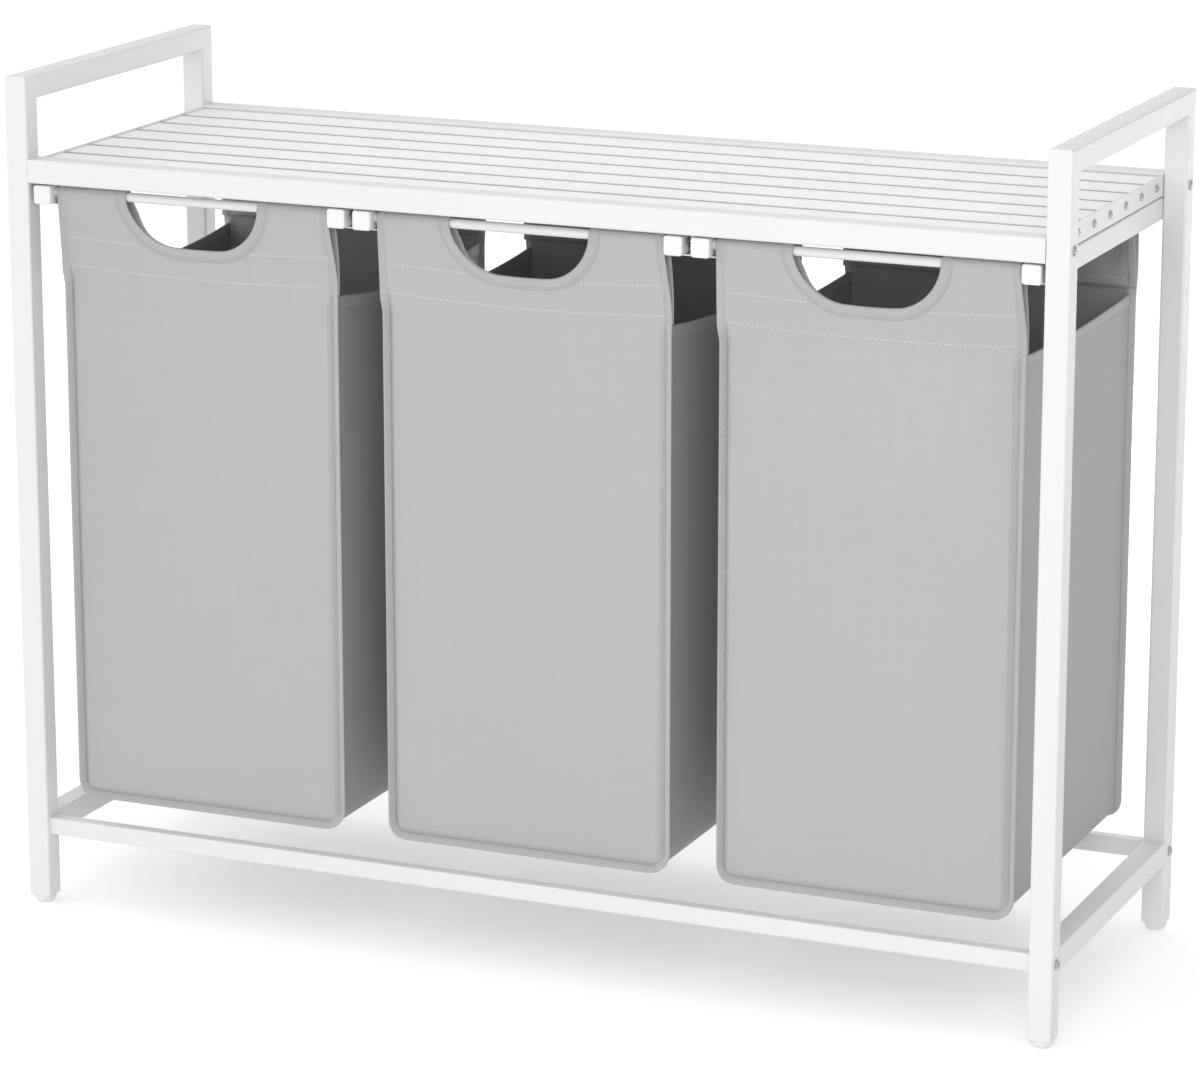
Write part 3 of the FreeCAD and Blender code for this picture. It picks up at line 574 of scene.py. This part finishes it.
    def edge(self, up):
        """Half the panel's width: round at the bottom, widest at the sleeve's foot, drawn in above."""
        _, height, _, _ = self.bend(up)
        drawn_in = smooth_step(height, self.rod_height - SEAM_BELOW_ROD[1], self.rod_height)
        sleeve = SLEEVE_FOOT_EDGE + (SLEEVE_TOP_EDGE - SLEEVE_FOOT_EDGE) * drawn_in
        half = PANEL_EDGE + (sleeve - PANEL_EDGE) * self.free(up)
        if up < CORNER:
            half -= CORNER - math.sqrt(max(0.0, CORNER ** 2 - (CORNER - up) ** 2))
        return half

    def free(self, up):
        """0 where the edge is sewn to the gusset, 1 on the sleeve, where it is only bound."""
        sewn = self.up_at(LEAN_BELOW_ROD + 6 * MM)
        loose = self.up_at(SEAM_BELOW_ROD[1] - 6 * MM)
        return smooth_step(up, sewn, loose)

    def tape_frame(self, across, up, out, rise):
        """Where the edge tape starts on the panel, which way it points, and where its outer side faces.

        The tape lies flat on the sleeve. Below the sleeve it binds the gusset's seam and stands out.
        """
        free = self.free(up)
        left, right, below = self.flange
        turn = (1 - free) * math.radians((left if out < 0 else right) * out ** 2 + below * rise ** 2)
        inset = TAPE_WIDTH * TAPE_IN_SLEEVE * free + TAPE_IN_SEAM * (1 - free)
        base_up = up - rise * inset
        _, _, normal_reach, normal_height = self.bend(base_up)
        normal = Vector((0, self.side * normal_reach, normal_height))
        climb = Vector((0, -self.side * normal_height, normal_reach))
        outward = (Vector((out, 0, 0)) + climb * rise).normalized()
        along = outward * math.cos(turn) + normal * math.sin(turn)
        through = normal * math.cos(turn) - outward * math.sin(turn)
        return self.place(across - out * inset, base_up), along, through

    def sag(self, across):
        """How far a level line droops between the ends of the sleeve."""
        return SEAM_SAG * (1 - (across / SLEEVE_FOOT_EDGE) ** 2)

    def hole_centre(self):
        low = self.up_at(HOLE_BELOW_ROD)
        high = self.down_at(HOLE_BELOW_ROD)
        return (low + high) / 2, (high - low) / 2

    def from_hole(self, across, up):
        """Distance from the edge of the hand hole, negative inside it."""
        centre, half = self.hole_centre()
        over = abs(across) - (HOLE_HALF_WIDTH - HOLE_CORNER)
        reach = half + self.hole_sag(across)
        along = abs(up - centre) - (reach - HOLE_CORNER)
        return math.hypot(max(over, 0), max(along, 0)) + min(max(over, along), 0) - HOLE_CORNER

    def hole_sag(self, across):
        """How much deeper the hole is in its middle, where the cloth droops."""
        return SEAM_SAG * max(0.0, 1 - (across / HOLE_HALF_WIDTH) ** 2)


def panel_rows(panel):
    """The lengths at which the cloth has a row of points: close together round the rod."""
    bottom = [CORNER * (1 - math.cos(a)) for a in np.linspace(0.12, math.pi / 2, 7)]
    rows = [0.0] + bottom
    turn_start = panel.over_start - TURN_MARGIN
    turn_end = panel.over_end + TURN_MARGIN
    rows += spread(CORNER, turn_start, GRID)[1:]
    rows += spread(turn_start, turn_end, TURN_GRID)[1:]
    rows += spread(turn_end, panel.total, GRID)[1:]
    return rows


def panel_columns():
    """Places across the cloth, as shares of its half width: close together beside its edges."""
    groove = 1 - GROOVE_WIDTH / PANEL_EDGE
    edge = spread(groove, 1, GROOVE_GRID / PANEL_EDGE)[1:]
    return [-share for share in reversed(edge)] + spread(-groove, groove, GRID / PANEL_EDGE) + edge


def make_panel_cloth(panel, holed):
    """The panel as one sheet. Where it is holed it ends under the hand hole's tape."""
    rows = panel_rows(panel)
    shares = panel_columns()
    points = []
    flat = []
    for up in rows:
        edge = panel.edge(up)
        for share in shares:
            across = share * edge
            points.append(panel.place(across, up))
            flat.append((across, up, 0))
    skip = None
    if holed:
        skip = []
        for low, high in zip(rows, rows[1:]):
            middle = (low + high) / 2
            edge = panel.edge(middle)
            skip.append([panel.from_hole((a + b) / 2 * edge, middle) < HOLE_CUT
                         for a, b in zip(shares, shares[1:])])
    faces = grid_faces(len(rows), len(shares), skip=skip)
    used = sorted({corner for face in faces for corner in face})
    place = {old: new for new, old in enumerate(used)}
    faces = [tuple(place[corner] for corner in face) for face in faces]
    new_piece(f"{panel.name}_cloth", [points[i] for i in used], faces, FABRIC, panel.slider,
              [flat[i] for i in used], CLOTH)


def outline(panel):
    """The panel's sewn edge, down one side, along the bottom and up the other.

    Each point is (across, up, outward across, outward up).
    """
    right = []
    for up in reversed(panel_rows(panel)):
        if up > CORNER:
            right.append((panel.edge(up), up, 1.0, 0.0))
    centre = PANEL_EDGE - CORNER
    for angle in np.linspace(0, math.pi / 2, 8):
        right.append((centre + CORNER * math.cos(angle), CORNER - CORNER * math.sin(angle),
                      math.cos(angle), -math.sin(angle)))
    for across in spread(centre, 0, BOTTOM_GRID)[1:]:
        right.append((across, 0.0, 0.0, -1.0))
    left = [(-across, up, -out, rise) for across, up, out, rise in reversed(right[:-1])]
    return right + left


def make_edge_binding(panel):
    """Tape folded over the panel's edge, which stands out where it binds the seam with the gusset."""
    half = TAPE_WIDTH / 2
    section = []
    for angle in np.linspace(0, 2 * math.pi, TAPE_POINTS, endpoint=False):
        along = math.copysign(abs(math.cos(angle)) ** 0.45, math.cos(angle))
        through = math.copysign(abs(math.sin(angle)) ** 0.7, math.sin(angle))
        section.append((half * (1 + along), TAPE * through))
    line = outline(panel)
    points = []
    flat = []
    run = 0.0
    previous = None
    for across, up, out, rise in line:
        base, along, through = panel.tape_frame(across, up, out, rise)
        if previous is not None:
            run += (base - previous).length
        previous = base
        for k, (a, b) in enumerate(section):
            points.append(base + along * a + through * b)
            flat.append((run, k * TAPE_ROUND, 0))
    new_piece(f"{panel.name}_edge_tape", points, closed_sweep(len(line), len(section)), TAPE_CLOTH,
              panel.slider, flat)


def closed_sweep(rings, count):
    """Faces of a swept closed section, with both ends capped."""
    faces = grid_faces(rings, count, wrap=True)
    faces.append(tuple(reversed(range(count))))
    faces.append(tuple((rings - 1) * count + k for k in range(count)))
    return faces


def hole_line(panel):
    """The hand hole's edge as (across, up, outward across, outward up), closed."""
    centre, half = panel.hole_centre()
    straight_across = HOLE_HALF_WIDTH - HOLE_CORNER
    straight_up = half - HOLE_CORNER
    line = []
    for quarter in range(4):
        start = quarter * math.pi / 2
        sign_across = 1 if quarter in (0, 3) else -1
        sign_up = 1 if quarter in (0, 1) else -1
        for angle in np.linspace(start, start + math.pi / 2, 22, endpoint=False):
            line.append((sign_across * straight_across + HOLE_CORNER * math.cos(angle),
                         centre + sign_up * straight_up + HOLE_CORNER * math.sin(angle),
                         math.cos(angle), math.sin(angle)))
        if quarter in (0, 2):
            start_across = sign_across * straight_across
            for across in spread(start_across, -start_across, TAPE_GRID)[:-1]:
                line.append((across, centre + sign_up * half, 0.0, float(sign_up)))
    dense = []
    for first, second in zip(line, line[1:] + line[:1]):
        gap = math.hypot(second[0] - first[0], second[1] - first[1])
        count = max(1, math.ceil(gap / (1.6 * MM)))
        for step in range(count):
            share = step / count
            dense.append(tuple(a + (b - a) * share for a, b in zip(first, second)))
    sagged = []
    for across, up, out, rise in dense:
        share = max(-1.0, min(1.0, (up - centre) / half))
        sagged.append((across, up + panel.hole_sag(across) * share, out, rise))
    return sagged


def make_hole_binding(panel):
    """Tape folded over the edge of the hand hole, round the front, over the rod and down the back."""
    line = hole_line(panel)
    points = []
    flat = []
    run = 0.0
    previous = line[0]
    for across, up, out, rise in line:
        run += math.hypot(across - previous[0], up - previous[1])
        previous = (across, up)
        for inwards, lift in HOLE_TAPE:
            distance = inwards / 10 * HOLE_BAND
            points.append(panel.place(across + out * distance, up + rise * distance, lift * MM))
            flat.append((run, inwards * MM, 0))
    count = len(HOLE_TAPE)
    faces = grid_faces(len(line), count, wrap=True)
    last = (len(line) - 1) * count
    faces += [(last + k, last + (k + 1) % count, (k + 1) % count, k) for k in range(count)]
    new_piece(f"{panel.name}_hand_hole_tape", points, faces, TAPE_CLOTH, panel.slider, flat)


# ---------------------------------------------------------------------------- the gusset

class Gusset:
    """The strip that makes both sides and the bottom, from one top edge round to the other."""

    def __init__(self, bag, front):
        low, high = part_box(f"bag_{bag}")
        self.bag = bag
        self.middle = front.middle
        self.slider = front.slider
        self.reach = front.face_reach
        self.bottom = low.z + GUSSET_BOTTOM
        self.top = high.z - GUSSET_TOP
        self.sag = SIDE_SAG[bag]
        self.ripples = {1: Ripples(SEEDS[bag] + 101, GUSSET_CREASE),
                        -1: Ripples(SEEDS[bag] + 202, GUSSET_CREASE)}

    def top_at(self, along):
        """Height of the open edge, which droops between the panels and is a little higher in front."""
        share = along / self.reach
        return self.top - self.sag * (1 - share * share) - 0.25 * self.sag * share

    def side_place(self, side, along, height, out=0.0):
        """A point of one side, out of its surface by the given distance."""
        tall = self.top_at(along) - self.bottom
        up_share = (height - self.bottom) / tall
        along_share = max(0.0, 1 - (along / self.reach) ** 2)
        loose = along_share * math.sin(math.pi * min(1.0, 0.08 + 0.9 * up_share))
        swell = GUSSET_BELLY * loose * (1.15 - up_share) + self.ripples[side].at(along, height) * loose
        return Vector((self.middle + side * (GUSSET_EDGE + swell + out), along, height))

    def corner_place(self, side, along, angle):
        """A point of a rounded bottom corner, from its side at 0 to its floor at a right angle."""
        across = GUSSET_EDGE - CORNER + CORNER * math.cos(angle)
        height = self.bottom + CORNER - CORNER * math.sin(angle)
        return Vector((self.middle + side * across, along, height))


def make_gusset_cloth(gusset):
    """The gusset as one strip: down the right side, across the bottom and up the left side."""
    columns = spread(-gusset.reach, gusset.reach, GUSSET_GRID)
    upright = spread(1, 0, GUSSET_RISE)
    arc = list(np.linspace(0, math.pi / 2, 8))[1:]
    floor = spread(GUSSET_EDGE - CORNER, -(GUSSET_EDGE - CORNER), BOTTOM_GRID)[1:]
    points = []
    flat = []
    for along in columns:
        tall = gusset.top_at(along) - gusset.bottom - CORNER
        column = []
        for share in upright:
            column.append(gusset.side_place(1, along, gusset.bottom + CORNER + tall * share))
        for angle in arc:
            column.append(gusset.corner_place(1, along, angle))
        for across in floor:
            column.append(Vector((gusset.middle + across, along, gusset.bottom)))
        for angle in reversed([0.0] + arc[:-1]):
            column.append(gusset.corner_place(-1, along, angle))
        for share in upright[-2::-1]:
            column.append(gusset.side_place(-1, along, gusset.bottom + CORNER + tall * share))
        run = 0.0
        for k, point in enumerate(column):
            if k:
                run += (point - column[k - 1]).length
            flat.append((along, run, 0))
        points += column
    faces = grid_faces(len(columns), len(column))
    return new_piece(f"bag_{gusset.bag}_gusset_cloth", points, faces, GUSSET_FABRIC, gusset.slider,
                     flat, CLOTH)


def make_top_binding(gusset, side):
    """Tape folded over the open top edge of one side."""
    columns = spread(-gusset.reach + 0.5 * MM, gusset.reach - 0.5 * MM, TAPE_GRID)
    points = []
    flat = []
    for along in columns:
        top = gusset.top_at(along)
        for k, (above, lift) in enumerate(TOP_TAPE):
            points.append(gusset.side_place(side, along, top + above * MM, lift * MM))
            flat.append((along, k * TAPE_ROUND, 0))
    name = "right" if side > 0 else "left"
    new_piece(f"bag_{gusset.bag}_{name}_top_tape", points, closed_sweep(len(columns), len(TOP_TAPE)),
              TAPE_CLOTH, gusset.slider, flat)


# ---------------------------------------------------------------------------- stitching

def stitch_mesh(points, faces, start, end, normal):
    """Adds one stitch: a short thread that dips into the cloth at both ends."""
    along = (end - start).normalized()
    side = normal.cross(along).normalized()
    first = len(points)
    for share, fat, lift in STITCH_RINGS:
        centre = start.lerp(end, share) + normal * lift * THREAD
        for k in range(STITCH_SIDES):
            angle = 2 * math.pi * k / STITCH_SIDES
            points.append(centre + (side * math.cos(angle) + normal * math.sin(angle)) * THREAD * fat)
    for face in closed_sweep(len(STITCH_RINGS), STITCH_SIDES):
        faces.append(tuple(first + corner for corner in face))


def sew(path, points, faces):
    """Stitches along a path of (place, normal), one after another at the stitch pitch."""
    places = [place for place, _ in path]
    runs = [0.0]
    for first, second in zip(places, places[1:]):
        runs.append(runs[-1] + (second - first).length)
    coordinates = np.array(places)
    normals = np.array([normal for _, normal in path])

    def at(values, run):
        return Vector([np.interp(run, runs, values[:, k]) for k in range(3)])

    for start in np.arange(STITCH_PITCH / 2, runs[-1] - STITCH, STITCH_PITCH):
        stitch_mesh(points, faces, at(coordinates, start), at(coordinates, start + STITCH),
                    at(normals, start + STITCH / 2).normalized())


def panel_path(panel, line, out):
    """Places and normals of a line of (across, up), out of the panel's surface by the given distance."""
    path = []
    for across, up in line:
        _, _, normal_reach, normal_height = panel.bend(up)
        normal = Vector((0, panel.side * normal_reach, normal_height))
        path.append((panel.place(across, up, out), normal))
    return path


def make_panel_stitching(panel, holed):
    """The pale seams that close the sleeve, and the grey ones on the tape of the edge and hand hole."""
    points = []
    faces = []
    surface = CLOTH / 2 + 0.1 * MM
    for below in SEAM_BELOW_ROD:
        up = panel.up_at(below)
        edge = panel.edge(up) - 1.2 * MM
        runs = [[]]
        for across in spread(-edge, edge, 3 * MM):
            level = up - panel.sag(across)
            if holed and panel.from_hole(across, level) < HOLE_BAND + 0.4 * MM:
                runs.append([])
            else:
                runs[-1].append((across, level))
        for run in runs:
            if len(run) > 3:
                sew(panel_path(panel, run, surface), points, faces)
    down = panel.down_at(SEAM_BELOW_ROD[1])
    edge = panel.edge(down) - TAPE_WIDTH
    sew(panel_path(panel, [(a, down) for a in spread(-edge, edge, 4 * MM)], surface), points, faces)
    new_piece(f"{panel.name}_sleeve_stitching", points, faces, PALE_THREAD, panel.slider)
    points = []
    faces = []
    if holed:
        ring = [(across + out * HOLE_TAPE_SEAM, up + rise * HOLE_TAPE_SEAM)
                for across, up, out, rise in hole_line(panel)]
        sew(panel_path(panel, ring + ring[:1], HOLE_TAPE_OUT), points, faces)
    sew(tape_seam(panel), points, faces)
    new_piece(f"{panel.name}_tape_stitching", points, faces, GREY_THREAD, panel.slider)


def tape_seam(panel):
    """The stitch line on the edge tape, on the side that shows."""
    path = []
    for across, up, out, rise in outline(panel):
        base, along, through = panel.tape_frame(across, up, out, rise)
        path.append((base + along * 0.3 * TAPE_WIDTH + through * (TAPE + 0.1 * MM), through))
    return path


def make_gusset_stitching(gusset):
    """A row of stitches on both faces of each top tape."""
    points = []
    faces = []
    for side in (1, -1):
        for face in (1, -1):
            path = []
            for along in spread(-gusset.reach + 6 * MM, gusset.reach - 6 * MM, GUSSET_GRID):
                height = gusset.top_at(along) - TOP_TAPE_SEAM
                place = gusset.side_place(side, along, height, face * TOP_TAPE_OUT)
                path.append((place, Vector((side * face, 0, 0))))
            sew(path, points, faces)
    new_piece(f"bag_{gusset.bag}_top_tape_stitching", points, faces, GREY_THREAD, gusset.slider)


def make_bag(bag):
    """One bag's gusset, drawn where its CAD solid is, which is hidden, and its two panels with tape and
    stitches.
    """
    front = Panel(bag, -1)
    rear = Panel(bag, 1)
    gusset = Gusset(bag, front)
    body = make_gusset_cloth(gusset)
    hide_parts(f"bag_{bag}")
    for side in (1, -1):
        make_top_binding(gusset, side)
    make_gusset_stitching(gusset)
    for panel in (front, rear):
        holed = panel is front
        make_panel_cloth(panel, holed)
        make_edge_binding(panel)
        if holed:
            make_hole_binding(panel)
        make_panel_stitching(panel, holed)


# ---------------------------------------------------------------------------- camera, floor and light

def make_camera():
    """The camera of the main view: in front, to the right, and above the shelf."""
    data = bpy.data.cameras.new("camera")
    data.sensor_width = 36
    data.lens = CAMERA_LENS
    camera = bpy.data.objects.new("camera", data)
    camera.location = CAMERA_PLACE
    camera.rotation_euler = (math.pi / 2 - CAMERA_DOWN, 0, CAMERA_TURN)
    data.clip_end = 60
    bpy.context.scene.collection.objects.link(camera)
    bpy.context.scene.camera = camera


def make_floor():
    """A wide pale floor that meets the pale world at the horizon."""
    points = []
    for radius in FLOOR_RADII:
        for k in range(FLOOR_SIDES):
            angle = 2 * math.pi * k / FLOOR_SIDES
            points.append((radius * math.cos(angle), radius * math.sin(angle), 0))
    faces = [tuple(range(FLOOR_SIDES))]
    for ring in range(len(FLOOR_RADII) - 1):
        inner = ring * FLOOR_SIDES
        outer = inner + FLOOR_SIDES
        for k in range(FLOOR_SIDES):
            after = (k + 1) % FLOOR_SIDES
            faces.append((inner + k, outer + k, outer + after, inner + after))
    mesh = bpy.data.meshes.new("floor")
    mesh.from_pydata(points, [], faces)
    material, tree, shader = new_material("pale_floor", FLOOR_COLOUR, 0.9)
    shader.inputs["Emission Color"].default_value = (1, 1, 1, 1)
    shader.inputs["Emission Strength"].default_value = FLOOR_GLOW
    tint(tree, shader, FLOOR_COLOUR, noise(tree, object_place(tree), 3), 0.004)
    mesh.materials.append(material)
    floor = bpy.data.objects.new("floor", mesh)
    bpy.context.scene.collection.objects.link(floor)


def add_area(name, place, target, size, power):
    """A rectangular light at a place, turned to a target, that the camera doesn't see."""
    data = bpy.data.lights.new(name, "AREA")
    data.shape = "RECTANGLE"
    data.size, data.size_y = size
    data.energy = power
    light = bpy.data.objects.new(name, data)
    light.location = place
    light.visible_camera = False
    light.rotation_euler = (Vector(target) - Vector(place)).to_track_quat("-Z", "Y").to_euler()
    bpy.context.scene.collection.objects.link(light)


def make_light():
    """A pale world, brightest high on the front left, a soft light in front and a low one behind."""
    world = bpy.data.worlds.new("pale_world")
    world.use_nodes = True
    tree = world.node_tree
    background = tree.nodes["Background"]
    background.inputs["Color"].default_value = (1, 1, 1, 1)
    towards = tree.nodes.new("ShaderNodeVectorMath")
    towards.operation = "DOT_PRODUCT"
    towards.inputs[1].default_value = Vector(SKY_BRIGHTEST).normalized()
    tree.links.new(tree.nodes.new("ShaderNodeTexCoord").outputs["Generated"], towards.inputs[0])
    level = ramp(tree, towards.outputs["Value"], *SKY_STRENGTH, -1, 1)
    tree.links.new(level, background.inputs["Strength"])
    bpy.context.scene.world = world
    add_area("front", **FRONT_LIGHT)
    add_area("rear", **REAR_LIGHT)
    bpy.context.scene.view_settings.view_transform = "Standard"


finish_nodes()
for bag_name in BAGS:
    make_bag(bag_name)
make_camera()
make_floor()
make_light()
